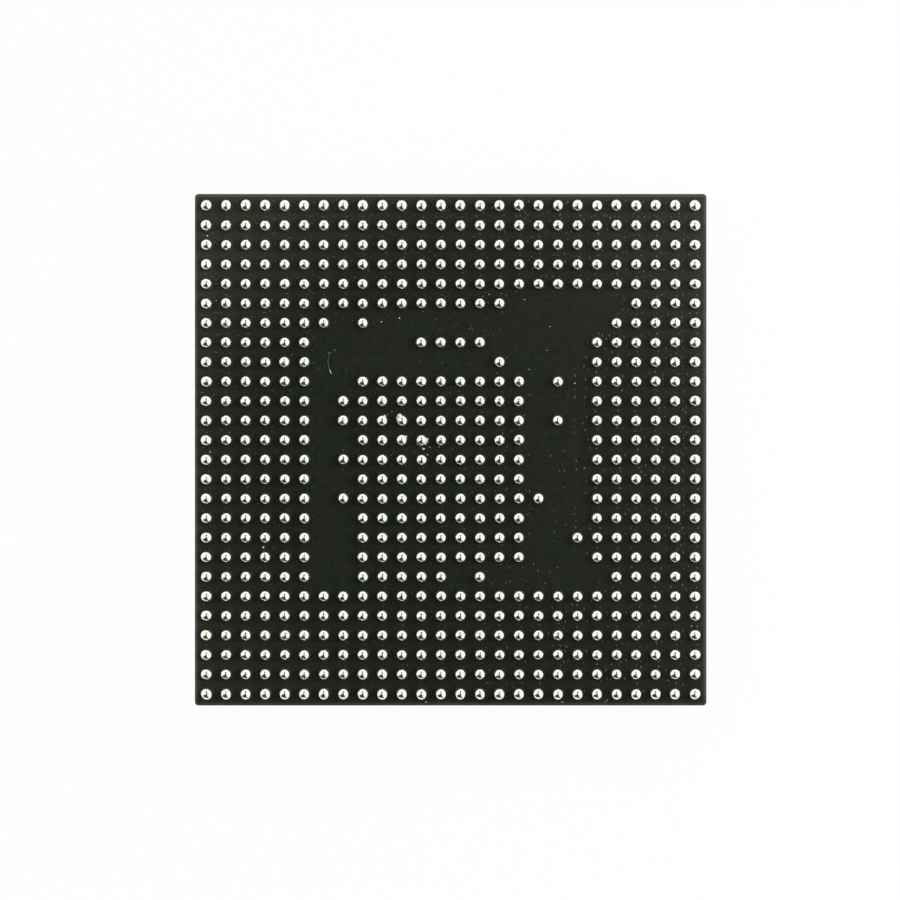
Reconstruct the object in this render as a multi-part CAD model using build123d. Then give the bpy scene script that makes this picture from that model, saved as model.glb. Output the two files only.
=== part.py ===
from build123d import *
import os
from math import cos, pi, radians, sin, sqrt, tan

# An over-moulded ball grid array package, in millimetres.
# It lies on its moulded cap with the solder balls up: z = 0 is the face of the cap,
# the origin is under the middle of the package, and row 1 of the grid is at +Y.

# Ball grid
grid_count = 26              # places along each side of the grid
ball_pitch = 0.80            # between ball centres, both ways
edge_to_ball = 0.50          # from the package's side to the first row of centres

# Solder ball: a sphere that its pad flattens underneath
ball_diameter = 0.50
seat_latitude = 36.87        # degrees below the ball's equator where it meets the mask
shoulder_latitude = 22.0     # degrees above the equator of the upper ring of corners
ball_sides = 5               # corners on each ring of a faceted ball

# Substrate
laminate_thickness = 0.50
corner_radius = 0.15
mask_thickness = 0.03
mask_pullback = 0.12         # bare rim between the mask and the package's side

# Inside the cap
die_size = 7.50
die_thickness = 0.28
attach_thickness = 0.03
attach_margin = 0.10         # adhesive squeezed out around the die

# Moulded cap
cap_over_die = 0.49          # moulding between the die and the cap's face
cap_inset = 1.00             # from the package's side to the foot of the cap
cap_corner_cut = 1.50        # chamfer on the cap's four corners
cap_draft = 15.0             # degrees, so that the cap leaves its mould
cap_edge_break = 0.08        # bevel around the cap's face
dimple_diameter = 1.00       # shallow mark for the first ball's corner
dimple_depth = 0.06
dimple_inset = 1.00          # from the cut corner of the cap's face to the dimple's edge

# Ball pattern: a ring of full rows and columns around a moat and a core block.
# Rows and columns count from 0, from the corner at -X and +Y.
ring_rows_first = 5
ring_rows_last = 6
ring_columns = 6
core_rows = range(9, 19)
core_columns = range(8, 17)
# Balls that stand in the moat, as columns for each row
moat_balls = {
    5: range(6, 16),
    6: (6, 8),
    7: range(11, 15),
    8: (15,),
    9: (18,),
    10: (7,),
    11: (7, 18),
    13: (7,),
    15: (7, 17),
    17: (19,),
    19: (8, 9, 10, 11, 12, 14),
}
# Rows whose right-hand ring starts this many places late
late_ring_starts = {5: 2, 6: 1, 19: 1}

# Sizes that follow from those above
body_size = (grid_count - 1) * ball_pitch + 2 * edge_to_ball
mask_size = body_size - 2 * mask_pullback
cap_height = cap_over_die + die_thickness + attach_thickness
cap_foot_size = body_size - 2 * cap_inset
cap_face_step = cap_height * tan(radians(cap_draft))
die_mask_z = cap_height
laminate_z = die_mask_z + mask_thickness
ball_mask_z = laminate_z + laminate_thickness
seat_z = ball_mask_z + mask_thickness


def square_sheet(size, thickness, z):
    """A square sheet on the package's axis, whose lower face is at z."""
    return Pos(0, 0, z) * Box(size, size, thickness, align=(Align.CENTER, Align.CENTER, Align.MIN))


def laminate():
    """The substrate: a thin square board with rounded corners."""
    outline = RectangleRounded(body_size, body_size, corner_radius)
    return extrude(Pos(0, 0, laminate_z) * outline, laminate_thickness)


def ring(radius, z, turn):
    """The corners of a regular ring of ball_sides points at height z, turned by a share of a step."""
    step = 2 * pi / ball_sides
    angles = [step * (k + turn) for k in range(ball_sides)]
    return [Vector(radius * cos(a), radius * sin(a), z) for a in angles]


def faceted_ball(swell):
    """A ball on z = 0 with few facets: a foot ring, a shoulder ring half a step on, and a top.

    The corners lie on the round ball, with both rings widened by the factor swell.
    """
    radius = ball_diameter / 2
    centre_z = radius * sin(radians(seat_latitude))
    foot = ring(swell * radius * cos(radians(seat_latitude)), 0, 0)
    shoulder_z = centre_z + radius * sin(radians(shoulder_latitude))
    shoulder = ring(swell * radius * cos(radians(shoulder_latitude)), shoulder_z, 0.5)
    top = Vector(0, 0, centre_z + radius)
    outlines = [foot]
    for k in range(ball_sides):
        after = (k + 1) % ball_sides
        outlines.append([foot[k], foot[after], shoulder[k]])
        outlines.append([foot[after], shoulder[after], shoulder[k]])
        outlines.append([shoulder[k], shoulder[after], top])
    faces = [Face(Wire.make_polygon(outline, close=True)) for outline in outlines]
    return Solid(Shell(faces))


def round_ball_volume():
    """The volume of the round ball above its seat: a sphere short of the cap that the pad takes."""
    radius = ball_diameter / 2
    height = radius * (1 + sin(radians(seat_latitude)))
    return pi * height**2 * (3 * radius - height) / 3


def solder_ball():
    """A faceted ball widened until it holds as much solder as the round one."""
    return faceted_ball(sqrt(round_ball_volume() / faceted_ball(1).volume))


def ball_columns(row):
    """The columns that hold a ball in one row of the grid."""
    columns = range(grid_count)
    if row < ring_rows_first or row >= grid_count - ring_rows_last:
        return list(columns)
    right_start = grid_count - ring_columns + late_ring_starts.get(row, 0)
    core = core_columns if row in core_rows else ()
    moat = moat_balls.get(row, ())
    return [c for c in columns if c < ring_columns or c >= right_start or c in core or c in moat]


def ball_row(ball, row):
    """All the balls of one row, standing on the ball-side mask."""
    middle = (grid_count - 1) / 2
    y = (middle - row) * ball_pitch
    places = [Pos((column - middle) * ball_pitch, y, seat_z) for column in ball_columns(row)]
    return Compound([place * ball for place in places])


def die_attach():
    """The adhesive film between the die and the die-side mask."""
    return square_sheet(die_size + 2 * attach_margin, attach_thickness, die_mask_z - attach_thickness)


def silicon_die():
    """The die, under the adhesive film as the package lies here."""
    return square_sheet(die_size, die_thickness, die_mask_z - attach_thickness - die_thickness)


def mould_cap():
    """The moulded cap: drafted sides, cut corners, a bevelled face, and the die cast into it."""
    foot = Rectangle(cap_foot_size, cap_foot_size)
    foot = chamfer(foot.vertices(), cap_corner_cut)
    parting_plane = Plane(origin=(0, 0, cap_height), z_dir=(0, 0, -1))
    cap = extrude(parting_plane * foot, cap_height, taper=cap_draft)
    face = cap.faces().sort_by(Axis.Z)[0]
    cap = chamfer(face.edges(), cap_edge_break)
    cut_corner_reach = (cap_foot_size - cap_corner_cut) / sqrt(2) - cap_face_step
    dimple_reach = cut_corner_reach - dimple_inset - dimple_diameter / 2
    dimple_at = dimple_reach / sqrt(2)
    dimple = Cylinder(dimple_diameter / 2, dimple_depth, align=(Align.CENTER, Align.CENTER, Align.MIN))
    return cap - Pos(-dimple_at, dimple_at, 0) * dimple - die_attach() - silicon_die()


def build_nodes():
    """Every node of the package, by name."""
    nodes = {
        "mould_cap": mould_cap(),
        "silicon_die": silicon_die(),
        "die_attach": die_attach(),
        "die_side_mask": square_sheet(mask_size, mask_thickness, die_mask_z),
        "laminate": laminate(),
        "ball_side_mask": square_sheet(mask_size, mask_thickness, ball_mask_z),
    }
    ball = solder_ball()
    for row in range(grid_count):
        nodes[f"solder_balls_row_{row + 1:02d}"] = ball_row(ball, row)
    return nodes


os.makedirs("parts", exist_ok=True)
for name, solid in build_nodes().items():
    export_step(solid, f"parts/{name}.step")
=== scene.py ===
"""Looks of an over-moulded ball grid array chip that lies on its cap with the solder balls up.

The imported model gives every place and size. The faceted balls are replaced by round ones, the solder
mask gets its covered vias and the dirt that lies on it, and each solid gets its own finish.
"""

import logging
from dataclasses import dataclass
from enum import Enum
from math import pi, radians, tau
from typing import Any, Dict, List, Optional, Sequence, Tuple, Union

import bpy
import numpy as np
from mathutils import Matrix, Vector


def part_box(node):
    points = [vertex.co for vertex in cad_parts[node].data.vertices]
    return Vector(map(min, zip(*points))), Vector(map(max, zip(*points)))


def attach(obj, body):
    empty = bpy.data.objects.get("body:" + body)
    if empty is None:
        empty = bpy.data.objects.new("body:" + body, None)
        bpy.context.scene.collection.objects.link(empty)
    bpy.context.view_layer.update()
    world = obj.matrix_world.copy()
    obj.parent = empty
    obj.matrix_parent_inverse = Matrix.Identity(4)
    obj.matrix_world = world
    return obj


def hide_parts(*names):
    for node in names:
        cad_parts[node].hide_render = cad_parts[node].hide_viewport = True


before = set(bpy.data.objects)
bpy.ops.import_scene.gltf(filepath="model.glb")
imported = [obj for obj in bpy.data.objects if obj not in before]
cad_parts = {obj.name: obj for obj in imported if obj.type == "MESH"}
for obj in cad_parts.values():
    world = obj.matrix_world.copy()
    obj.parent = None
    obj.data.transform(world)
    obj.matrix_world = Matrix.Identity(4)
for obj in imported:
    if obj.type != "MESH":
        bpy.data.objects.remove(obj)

logging.basicConfig(level=logging.INFO, format="%(message)s")
log = logging.getLogger("chip")

# Metres in a millimetre
MM = 0.001
# Ball pitch, in millimetres
PITCH = 0.80
BODY = "root"
Colour = Tuple[float, float, float]
Point = Tuple[float, float, float]
Pair = Tuple[float, float]
WHITE: Colour = (1.0, 1.0, 1.0)


class Slot(Enum):
    """The record's material slots, which each lump group holds but the script doesn't read."""

    SOLDER = "solder"
    MASK = "solder_mask"


class Wire:
    """One output socket of a shader tree, with arithmetic that adds Math nodes."""

    def __init__(self, graph: "Graph", socket: bpy.types.NodeSocket) -> None:
        """Wraps a socket of a graph."""
        self.graph = graph
        self.socket = socket

    def math(self, operation: str, *operands: "Value") -> "Wire":
        """Adds one Math node.

        Args:
            operation: The node's operation, such as "MAXIMUM".
            operands: Its inputs in order.

        Returns:
            The node's result.
        """
        return self.graph.node("ShaderNodeMath", {"operation": operation}, dict(enumerate(operands)))

    def __add__(self, other: "Value") -> "Wire":
        """self + other."""
        return self.math("ADD", self, other)

    def __radd__(self, other: "Value") -> "Wire":
        """other + self."""
        return self.math("ADD", other, self)

    def __sub__(self, other: "Value") -> "Wire":
        """self - other."""
        return self.math("SUBTRACT", self, other)

    def __rsub__(self, other: "Value") -> "Wire":
        """other - self."""
        return self.math("SUBTRACT", other, self)

    def __mul__(self, other: "Value") -> "Wire":
        """self * other."""
        return self.math("MULTIPLY", self, other)

    def __rmul__(self, other: "Value") -> "Wire":
        """other * self."""
        return self.math("MULTIPLY", other, self)

    def __truediv__(self, other: "Value") -> "Wire":
        """self / other."""
        return self.math("DIVIDE", self, other)

    def __pow__(self, other: "Value") -> "Wire":
        """self to the power of other."""
        return self.math("POWER", self, other)

    def magnitude(self) -> "Wire":
        """self without its sign."""
        return self.math("ABSOLUTE", self)

    def fraction(self) -> "Wire":
        """The part of self after the decimal point."""
        return self.math("FRACT", self)

    def at_least(self, other: "Value") -> "Wire":
        """The larger of self and other."""
        return self.math("MAXIMUM", self, other)


Value = Union[float, Wire]


class Graph:
    """A shader tree that nodes are added to by type, settings and sockets."""

    def __init__(self, tree: bpy.types.NodeTree) -> None:
        """Wraps a node tree."""
        self.tree = tree

    def plug(self, socket: bpy.types.NodeSocket, value: Any) -> None:
        """Links a wire to an input socket, or sets a constant on it.

        Args:
            socket: The input socket.
            value: A Wire, a number, a colour or a vector.
        """
        if isinstance(value, Wire):
            self.tree.links.new(value.socket, socket)
            return
        if socket.type == "RGBA" and len(value) == 3:
            value = (*value, 1.0)
        socket.default_value = value

    def node(self, kind: str, settings: Optional[Dict[str, Any]] = None,
             sockets: Optional[Dict[Any, Any]] = None, output: Any = 0) -> Wire:
        """Adds a node of any kind.

        Args:
            kind: The node's type.
            settings: Properties that are set first. "stops" holds a colour ramp's (place, colour) pairs.
            sockets: Values or wires for the inputs, by name or number.
            output: The name or number of the output that is returned.

        Returns:
            The chosen output.
        """
        made = self.tree.nodes.new(kind)
        settings = dict(settings or {})
        stops = settings.pop("stops", ())
        for name, value in settings.items():
            setattr(made, name, value)
        for index, (place, colour) in enumerate(stops):
            ramp = made.color_ramp.elements
            stop = ramp[index] if index < len(ramp) else ramp.new(place)
            stop.position = place
            stop.color = (*colour, 1.0)
        for name, value in (sockets or {}).items():
            self.plug(made.inputs[name], value)
        return Wire(self, made.outputs[output])

    def place(self) -> Wire:
        """The point on the piece, in metres in the chip's frame."""
        return self.node("ShaderNodeTexCoord", output="Object")

    def parts(self, vector: Wire) -> Tuple[Wire, Wire, Wire]:
        """The x, y and z of a vector."""
        split = self.node("ShaderNodeSeparateXYZ", sockets={0: vector})
        return split, Wire(self, split.socket.node.outputs[1]), Wire(self, split.socket.node.outputs[2])

    def noise(self, place: Wire, size_mm: float, detail: float = 2.0, roughness: float = 0.5) -> Wire:
        """Soft noise around one half.

        Args:
            place: The point it is read at.
            size_mm: The size of its blotches.
            detail: How many finer layers it has.
            roughness: How strong the finer layers are.

        Returns:
            The noise, about 0.3 to 0.7.
        """
        sockets = {"Vector": place, "Scale": 1.0 / (size_mm * MM), "Detail": detail, "Roughness": roughness}
        return self.node("ShaderNodeTexNoise", sockets=sockets)

    def patches(self, place: Wire, size_mm: float, limits: Pair, detail: float = 2.0) -> Wire:
        """Soft patches: 0 where noise of a size is at the first limit, 1 where it is at the second."""
        return self.step(self.noise(place, size_mm, detail), *limits)

    def stretched(self, place: Wire, scale: Point) -> Wire:
        """The point with its axes scaled, which draws a pattern out where the scale is below 1."""
        return self.node("ShaderNodeMapping", sockets={"Vector": place, "Scale": scale})

    def draw(self, place: Wire, cell_mm: float) -> Wire:
        """A random number that is the same all over one square of a grid.

        Args:
            place: The point it is read at.
            cell_mm: The side of the squares, which meet at the origin.

        Returns:
            The number, from 0 to 1.
        """
        sockets = {0: place, 1: (cell_mm * MM, cell_mm * MM, 1.0)}
        cell = self.node("ShaderNodeVectorMath", {"operation": "SNAP"}, sockets)
        counted = {0: cell, "Scale": 1.0 / (cell_mm * MM)}
        number = self.node("ShaderNodeVectorMath", {"operation": "SCALE"}, counted)
        return self.node("ShaderNodeTexWhiteNoise", sockets={"Vector": number})

    def step(self, value: Wire, low: float, high: float) -> Wire:
        """A smooth step: 0 where the value is at low, 1 where it is at high."""
        sockets = {"Value": value, "From Min": low, "From Max": high}
        return self.node("ShaderNodeMapRange", {"interpolation_type": "SMOOTHSTEP"}, sockets)

    def blend(self, share: Value, first: Any, second: Any) -> Wire:
        """A colour between two others.

        Args:
            share: How much of the second there is.
            first: The colour at 0.
            second: The colour at 1.

        Returns:
            The mixed colour.
        """
        return self.node("ShaderNodeMix", {"data_type": "RGBA"}, {0: share, 6: first, 7: second}, output=2)

    def bump(self, height: Wire, depth_mm: float, strength: float = 1.0) -> Wire:
        """A normal tilted by a height map.

        Args:
            height: The height, as a share of the depth.
            depth_mm: The height that 1 stands for.
            strength: How much of the tilt is kept.

        Returns:
            The normal.
        """
        return self.node("ShaderNodeBump", sockets={"Height": height, "Distance": depth_mm * MM,
                                                    "Strength": strength})


@dataclass(frozen=True)
class Finish:
    """A surface finish, which makes one material."""

    name: str

    def paint(self, graph: Graph) -> Dict[str, Any]:
        """The values and wires of the shader's inputs, by name."""
        raise NotImplementedError

    def build(self) -> bpy.types.Material:
        """Makes the material.

        Returns:
            A material with one Principled shader, fed by paint.
        """
        material = bpy.data.materials.new(self.name)
        material.use_nodes = True
        graph = Graph(material.node_tree)
        shader = material.node_tree.nodes["Principled BSDF"]
        for socket, value in self.paint(graph).items():
            graph.plug(shader.inputs[socket], value)
        return material


@dataclass(frozen=True)
class SolderFinish(Finish):
    """Bright reflowed solder, a little uneven, with a few balls that are tinged by old flux."""

    bright: Colour = (0.93, 0.935, 0.885)
    dulled: Colour = (0.86, 0.865, 0.810)
    tinged: Colour = (0.90, 0.89, 0.70)
    tinge_corner: Pair = (2.0, 17.0)
    tinge_share: float = 0.5
    second_draw: float = 37.0
    own_stain: float = 0.7
    corner_stain: float = 0.25
    patch_stain: float = 2.0
    stain_range: Pair = (0.70, 1.10)
    dull_range: Pair = (0.3, 0.7)
    dull_share: float = 0.7
    grain_mm: float = 0.03
    dent_mm: float = 0.16
    dent_depth_mm: float = 0.016
    dent_strength: float = 0.6
    polish: float = 0.02
    own_dulling: float = 0.17
    own_rarity: float = 3.0
    grain_dulling: float = 0.04

    def paint(self, graph: Graph) -> Dict[str, Any]:
        """Tone by ball, a tinge in patches near one corner, and a skin with dents and a fine grain.

        Args:
            graph: The material's shader tree.

        Returns:
            The shader's inputs, by name.
        """
        place = graph.place()
        x, y, _ = graph.parts(place)
        own = graph.draw(place, PITCH)
        patchy = graph.noise(place, self.dent_mm, 2.0)
        corner = graph.step((x - y) / MM, *self.tinge_corner)
        stain = (own * self.second_draw).fraction() * self.own_stain + corner * self.corner_stain
        stain = stain + (patchy - 0.5) * self.patch_stain
        tinge = graph.step(stain, *self.stain_range)
        dull = own * self.dull_share * graph.step(patchy, *self.dull_range)
        clean = graph.blend(dull, self.bright, self.dulled)
        grain = graph.noise(place, self.grain_mm, 3.0)
        dents = graph.noise(place, self.dent_mm, 1.0)
        dulling = own ** self.own_rarity * self.own_dulling + grain * self.grain_dulling
        return {
            "Base Color": graph.blend(tinge * self.tinge_share, clean, self.tinged),
            "Metallic": 1.0,
            "Roughness": self.polish + dulling,
            "Normal": graph.bump(dents, self.dent_depth_mm, self.dent_strength),
        }


@dataclass(frozen=True)
class MaskFinish(Finish):
    """Dark olive solder mask: a soft gloss, greener in the moat, thin and pale along its edge, with painted
    shade that darkens its right side and dims the pale edge along the bottom, and a painted sheen that
    lightens its outer, upper and left parts.

    A range holds the two values of a noise between which a patch sets in, and a reach the two places on
    the chip, in millimetres, between which a change does. Those of the edge are counted from the edge.
    """

    half_side: float
    olive: Colour = (0.0113, 0.0126, 0.0058)
    green: Colour = (0.0089, 0.0137, 0.0065)
    teal: Colour = (0.0054, 0.0138, 0.0071)
    # Painted shade: the colour towards which the right side is darkened
    painted_shade: Colour = (0.0067, 0.0077, 0.0034)
    pale: Colour = (0.0155, 0.0167, 0.0098)
    # Painted sheen: the pale colour towards which the outer, upper and left parts are lightened
    painted_sheen: Colour = (0.0294, 0.0305, 0.0202)
    thin: Colour = (0.0520, 0.0570, 0.0400)
    patch_mm: float = 3.2
    patch_range: Pair = (0.40, 0.62)
    patch_share: float = 0.35
    teal_mm: float = 0.9
    teal_range: Pair = (0.50, 0.64)
    teal_share: float = 0.7
    mottle_mm: float = 0.35
    mottle_range: Pair = (0.35, 0.75)
    mottle_share: float = 0.5
    fleck_mm: float = 0.09
    fleck_range: Pair = (0.40, 0.66)
    fleck_share: float = 0.10
    moat_half: float = 6.1
    moat_share: float = 0.6
    core_middle: Pair = (-0.4, -1.2)
    core_half: Pair = (3.7, 4.5)
    core_share: float = 0.7
    box_soft: float = 0.4
    right_reach: Pair = (-3.0, 8.0)
    right_shade_share: float = 0.4
    outer_reach: Pair = (6.0, 15.0)
    outer_sheen: float = 0.05
    upper_reach: Pair = (-9.0, 10.0)
    upper_sheen: float = 0.66
    left_reach: Pair = (4.0, -10.5)
    left_sheen: float = 0.42
    corner_sheen: float = 0.10
    top_reach: Pair = (1.0, 10.5)
    top_sheen: float = 0.10
    edge_reach: Pair = (-0.20, 0.06)
    edge_wander: float = 0.3
    edge_share: float = 0.15
    lower_reach: Pair = (0.1, 0.6)
    lower_share: float = 0.25
    gloss: float = 0.18
    mottle_dulling: float = 0.12
    specular: float = 0.35
    peel_mm: float = 0.11
    peel_depth_mm: float = 0.0010

    def box(self, graph: Graph, place: Wire, middle: Pair, half: Pair) -> Wire:
        """A soft rectangle: 1 inside and 0 outside.

        Args:
            graph: The material's shader tree.
            place: The point on the piece.
            middle: The rectangle's middle, in millimetres.
            half: Half its sides, in millimetres.

        Returns:
            The share that is inside.
        """
        x, y, _ = graph.parts(place)
        past_x = (x - middle[0] * MM).magnitude() - half[0] * MM
        past_y = (y - middle[1] * MM).magnitude() - half[1] * MM
        return 1.0 - graph.step(past_x.at_least(past_y), -self.box_soft * MM, self.box_soft * MM)

    def paint(self, graph: Graph) -> Dict[str, Any]:
        """Green in the moat and in patches, a fine mottle, a pale edge, painted shade at the right, painted
        sheen on the outer parts, and a slight orange peel.

        Args:
            graph: The material's shader tree.

        Returns:
            The shader's inputs, by name.
        """
        place = graph.place()
        x, y, _ = graph.parts(place)
        moat = self.box(graph, place, (0.0, 0.0), (self.moat_half, self.moat_half))
        core = self.box(graph, place, self.core_middle, self.core_half)
        patch = graph.patches(place, self.patch_mm, self.patch_range, 3.0)
        mottle = graph.noise(place, self.mottle_mm, 4.0, 0.6)
        greener = moat * (1.0 - core * self.core_share) * self.moat_share + patch * self.patch_share
        tint = graph.blend(greener, self.olive, self.green)
        cool = graph.patches(place, self.teal_mm, self.teal_range)
        tint = graph.blend(cool * self.teal_share, tint, self.teal)
        # Painted shade: the mask darkens towards the right side
        right = graph.step(x / MM, *self.right_reach)
        tint = graph.blend(right * self.right_shade_share, tint, self.painted_shade)
        mottled = graph.blend(graph.step(mottle, *self.mottle_range) * self.mottle_share, tint, self.pale)
        # Painted sheen: lighter towards the outer, upper and left parts and along the top
        radius = (x * x + y * y) ** 0.5 / MM
        outer = graph.step(radius, *self.outer_reach)
        upper = graph.step(y / MM, *self.upper_reach)
        left = graph.step(x / MM, *self.left_reach)
        sheen_share = self.outer_sheen + upper * self.upper_sheen
        sheen_share = sheen_share + left * (self.left_sheen + upper * self.corner_sheen)
        sheen_share = outer * sheen_share + graph.step(y / MM, *self.top_reach) * self.top_sheen
        with_sheen = graph.blend(sheen_share, mottled, self.painted_sheen)
        fleck = graph.patches(place, self.fleck_mm, self.fleck_range)
        flecked = graph.blend(fleck * self.fleck_share, with_sheen, self.thin)
        outward = x.magnitude().at_least(y.magnitude()) / MM - self.half_side
        edge = graph.step(outward + (mottle - 0.5) * self.edge_wander, *self.edge_reach)
        # Painted shade: the pale edge is weaker along the lower edge
        lower = graph.step(y / MM + self.half_side, *self.lower_reach)
        edge = edge * (self.edge_share + lower * self.lower_share)
        peel = graph.noise(place, self.peel_mm, 2.0)
        return {
            "Base Color": graph.blend(edge, flecked, self.thin),
            "Roughness": self.gloss + mottle * self.mottle_dulling,
            "Specular IOR Level": self.specular,
            "Normal": graph.bump(peel, self.peel_depth_mm),
        }


@dataclass(frozen=True)
class LaminateFinish(Finish):
    """Glass and resin board: bare olive rim on top, darkened by painted shade along its lower edge, and a
    sawn side that shows its layers.

    The heights of its lower and upper face are in metres, as the shader reads them.
    """

    base_z: float
    top_z: float
    rim: Colour = (0.072, 0.081, 0.053)
    # Painted shade: the colour the rim darkens to along the lower edge
    shaded: Colour = (0.022, 0.023, 0.017)
    resin: Colour = (0.060, 0.058, 0.030)
    glass: Colour = (0.150, 0.145, 0.095)
    copper: Colour = (0.210, 0.105, 0.045)
    dusty: Colour = (0.30, 0.30, 0.24)
    speck: Colour = (0.12, 0.13, 0.10)
    nick: Colour = (0.045, 0.098, 0.058)
    nick_at: Pair = (10.35, 9.40)
    nick_soft: float = 0.05
    nick_reach: Pair = (0.22, 0.10)
    nick_share: float = 0.8
    fibre_mm: float = 0.06
    fibre_range: Pair = (0.55, 0.75)
    fibre_share: float = 0.5
    saw_mm: float = 0.07
    saw_stretch: float = 0.06
    saw_range: Pair = (0.52, 0.72)
    saw_share: float = 0.35
    wobble_mm: float = 0.5
    wobble_share: float = 0.06
    stain_mm: float = 1.6
    lower_reach: Pair = (-10.42, -10.0)
    least_tone: float = 0.05
    lower_tone: float = 0.65
    speck_range: Pair = (0.60, 0.80)
    speck_share: float = 0.4
    level_range: Pair = (0.4, 0.8)
    matt: float = 0.55
    fibre_dulling: float = 0.25
    skin_depth_mm: float = 0.006
    skin_strength: float = 0.8

    def layers(self) -> List[Tuple[float, Colour]]:
        """The board's layers from below, each at its share of the thickness."""
        return [(0.0, self.resin), (0.10, self.glass), (0.30, self.resin), (0.335, self.copper),
                (0.375, self.resin), (0.50, self.glass), (0.62, self.resin), (0.655, self.copper),
                (0.69, self.resin), (0.90, self.glass)]

    def paint(self, graph: Graph) -> Dict[str, Any]:
        """Layers by height on the sides, and a mottled rim where the face looks up or down, darkened by
        painted shade along the lower edge.

        Args:
            graph: The material's shader tree.

        Returns:
            The shader's inputs, by name.
        """
        place = graph.place()
        x, y, z = graph.parts(place)
        height = (z - self.base_z) / (self.top_z - self.base_z)
        wobble = (graph.noise(place, self.wobble_mm, 2.0) - 0.5) * self.wobble_share
        layers = graph.node("ShaderNodeValToRGB", {"stops": self.layers()}, {0: height + wobble})
        fibres = graph.noise(place, self.fibre_mm, 4.0, 0.65)
        saw = graph.noise(graph.stretched(place, (1.0, 1.0, self.saw_stretch)), self.saw_mm, 3.0, 0.6)
        marked = graph.blend(graph.step(saw, *self.saw_range) * self.saw_share, layers, self.dusty)
        sawn = graph.blend(graph.step(fibres, *self.fibre_range) * self.fibre_share, marked, self.dusty)
        facing = graph.node("ShaderNodeNewGeometry", output="Normal")
        level = graph.step(graph.parts(facing)[2].magnitude(), *self.level_range)
        # Painted shade: the rim darkens towards its lower edge
        lower = graph.step(y / MM, *self.lower_reach)
        stain = graph.noise(place, self.stain_mm, 3.0) - 0.5
        tone = graph.blend(self.least_tone + lower * self.lower_tone + stain, self.shaded, self.rim)
        out = graph.step(x / MM - self.nick_at[0], -self.nick_soft, self.nick_soft)
        along = graph.step((y / MM - self.nick_at[1]).magnitude(), *self.nick_reach)
        nicked = graph.blend(out * along * self.nick_share, tone, self.nick)
        speckled = graph.blend(graph.step(fibres, *self.speck_range) * self.speck_share, nicked, self.speck)
        return {
            "Base Color": graph.blend(level, sawn, speckled),
            "Roughness": self.matt + fibres * self.fibre_dulling,
            "Normal": graph.bump(fibres + saw, self.skin_depth_mm, self.skin_strength),
        }


@dataclass(frozen=True)
class MouldFinish(Finish):
    """Black moulding compound, matt, with the pale fines of its filler showing in the skin."""

    black: Colour = (0.009, 0.009, 0.010)
    worn: Colour = (0.040, 0.040, 0.041)
    grain_mm: float = 0.12
    grain_share: float = 0.4
    spark_mm: float = 0.30
    cloud_mm: float = 2.5
    cloud_range: Pair = (0.35, 0.7)
    cloud_share: float = 0.15
    fines_range: Pair = (0.54, 0.72)
    fines_share: float = 0.6
    matt: float = 0.42
    cloud_dulling: float = 0.10
    spark_dulling: float = 0.18
    skin_depth_mm: float = 0.016

    def paint(self, graph: Graph) -> Dict[str, Any]:
        """A cloudy black with fine pale grains and a sparked skin.

        Args:
            graph: The material's shader tree.

        Returns:
            The shader's inputs, by name.
        """
        place = graph.place()
        cloud = graph.patches(place, self.cloud_mm, self.cloud_range, 3.0)
        grain = graph.noise(place, self.grain_mm, 3.0, 0.7)
        sparks = graph.noise(place, self.spark_mm, 3.0, 0.65)
        fines = graph.step(grain, *self.fines_range)
        worn = cloud * self.cloud_share + fines * self.fines_share
        return {
            "Base Color": graph.blend(worn, self.black, self.worn),
            "Roughness": self.matt + cloud * self.cloud_dulling + sparks * self.spark_dulling,
            "Normal": graph.bump(grain * self.grain_share + sparks, self.skin_depth_mm),
        }


@dataclass(frozen=True)
class SiliconFinish(Finish):
    """Ground silicon, grey, with fine parallel grinding marks."""

    grey: Colour = (0.20, 0.21, 0.23)
    dark: Colour = (0.13, 0.14, 0.16)
    mark_mm: float = 0.02
    mark_stretch: float = 0.02
    metallic: float = 0.6
    smooth: float = 0.25
    mark_dulling: float = 0.2

    def paint(self, graph: Graph) -> Dict[str, Any]:
        """Stripes along one side, from noise that is stretched along it.

        Args:
            graph: The material's shader tree.

        Returns:
            The shader's inputs, by name.
        """
        along = graph.stretched(graph.place(), (self.mark_stretch, 1.0, 1.0))
        marks = graph.noise(along, self.mark_mm, 2.0)
        return {
            "Base Color": graph.blend(marks, self.dark, self.grey),
            "Metallic": self.metallic,
            "Roughness": self.smooth + marks * self.mark_dulling,
        }


@dataclass(frozen=True)
class AdhesiveFinish(Finish):
    """Cured adhesive film, pale amber."""

    amber: Colour = (0.45, 0.36, 0.20)
    pale: Colour = (0.56, 0.50, 0.34)
    mottle_mm: float = 0.4
    matt: float = 0.45
    mottle_dulling: float = 0.1

    def paint(self, graph: Graph) -> Dict[str, Any]:
        """A soft mottle of two ambers.

        Args:
            graph: The material's shader tree.

        Returns:
            The shader's inputs, by name.
        """
        mottle = graph.noise(graph.place(), self.mottle_mm, 3.0)
        return {
            "Base Color": graph.blend(mottle, self.amber, self.pale),
            "Roughness": self.matt + mottle * self.mottle_dulling,
        }


@dataclass(frozen=True)
class FleckFinish(Finish):
    """A smooth skin of two tones in soft flecks, duller in the second tone."""

    first: Colour
    second: Colour
    fleck_mm: float
    smooth: float
    dulling: float
    specular: float = 0.5
    tone_range: Pair = (0.35, 0.65)

    def paint(self, graph: Graph) -> Dict[str, Any]:
        """The second tone where soft noise is high, and a roughness that rises with it.

        Args:
            graph: The material's shader tree.

        Returns:
            The shader's inputs, by name.
        """
        tone = graph.patches(graph.place(), self.fleck_mm, self.tone_range)
        return {
            "Base Color": graph.blend(tone, self.first, self.second),
            "Roughness": self.smooth + tone * self.dulling,
            "Specular IOR Level": self.specular,
        }


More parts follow.
